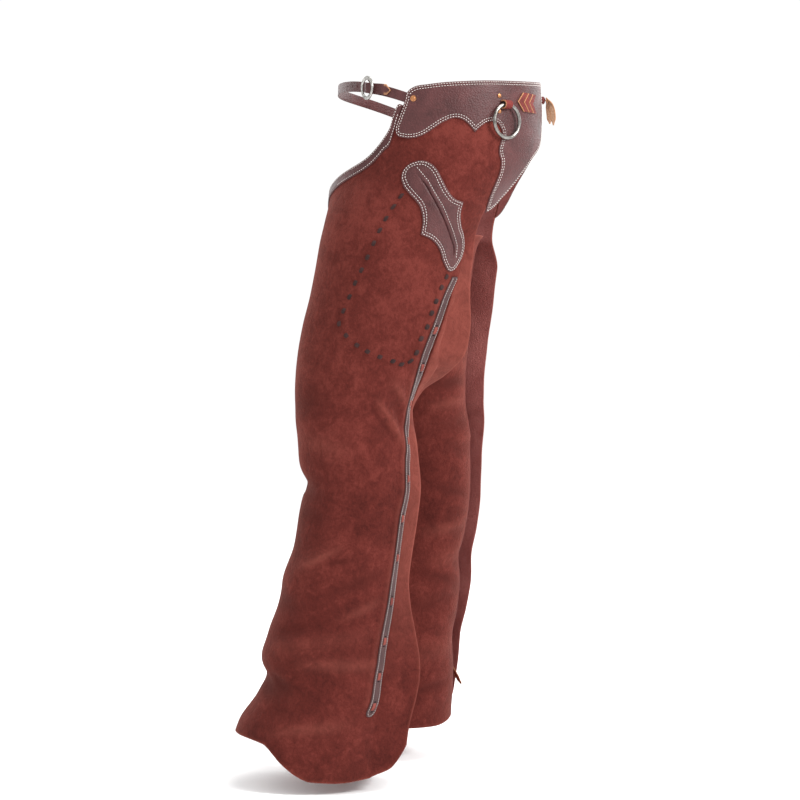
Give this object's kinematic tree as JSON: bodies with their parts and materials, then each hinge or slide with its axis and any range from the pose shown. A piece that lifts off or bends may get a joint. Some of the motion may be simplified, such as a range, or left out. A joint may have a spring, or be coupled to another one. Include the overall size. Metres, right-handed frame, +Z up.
{
  "type": "work chaps",
  "caption": "Worn suede work chaps with scalloped leather yokes, laced seams, a front belt with an oval buckle, a pocket and a hanging steel ring.",
  "frame": {"origin": "centre of the waist at the level of the yokes' top edges at the sides, where the wearer holds them up", "axes": "+Z up, the wearer faces -Y, and the wearer's left leg is at +X"},
  "size_m": [0.4364, 0.4634, 0.9971],
  "materials": {
    "suede": "napped suede outside, smooth red-brown grain inside",
    "yoke_leather": "smooth pebbled dark burgundy-brown",
    "strip_leather": "smooth dark burgundy-brown",
    "lace_leather": "smooth red-brown lace",
    "thong_leather": "tan flesh side",
    "ring_steel": "satin steel",
    "buckle_silver": "polished silver",
    "rivet_copper": "worn copper"
  },
  "bodies": {
    "chaps": {"leg_left": "suede", "leg_right": "suede", "yoke_left": "yoke_leather", "yoke_right": "yoke_leather", "front_binding_left": "yoke_leather", "front_binding_right": "yoke_leather", "pocket_left": "yoke_leather", "pocket_welt_left": "yoke_leather", "belt_left": "yoke_leather", "belt_right": "yoke_leather", "seam_strip_left": "strip_leather", "seam_strip_right": "strip_leather", "ring_loop": "lace_leather", "back_lace_1": "lace_leather", "back_lace_2": "lace_leather", "back_lace_3": "lace_leather", "lace_knot": "lace_leather", "lace_tail_right": "lace_leather", "lace_chevron_left_1": "lace_leather", "lace_chevron_left_2": "lace_leather", "lace_chevron_left_3": "lace_leather", "lace_chevron_right_1": "lace_leather", "lace_chevron_right_2": "lace_leather", "lace_chevron_right_3": "lace_leather", "thong_left": "thong_leather", "thong_right": "thong_leather", "buckle": "buckle_silver", "belt_rivet_left": "rivet_copper", "belt_rivet_right": "rivet_copper", "ring_rivet_upper": "rivet_copper", "ring_rivet_lower": "rivet_copper"},
    "ring": {"ring": "ring_steel"}
  },
  "joints": [
    {"name": "ring_swing", "type": "hinge", "parent": "chaps", "child": "ring", "pos_m": [0.16311, 0.09288, -0.028], "axis": [0.6386, -0.7696, 0], "range_deg": [0, 120]}
  ]
}
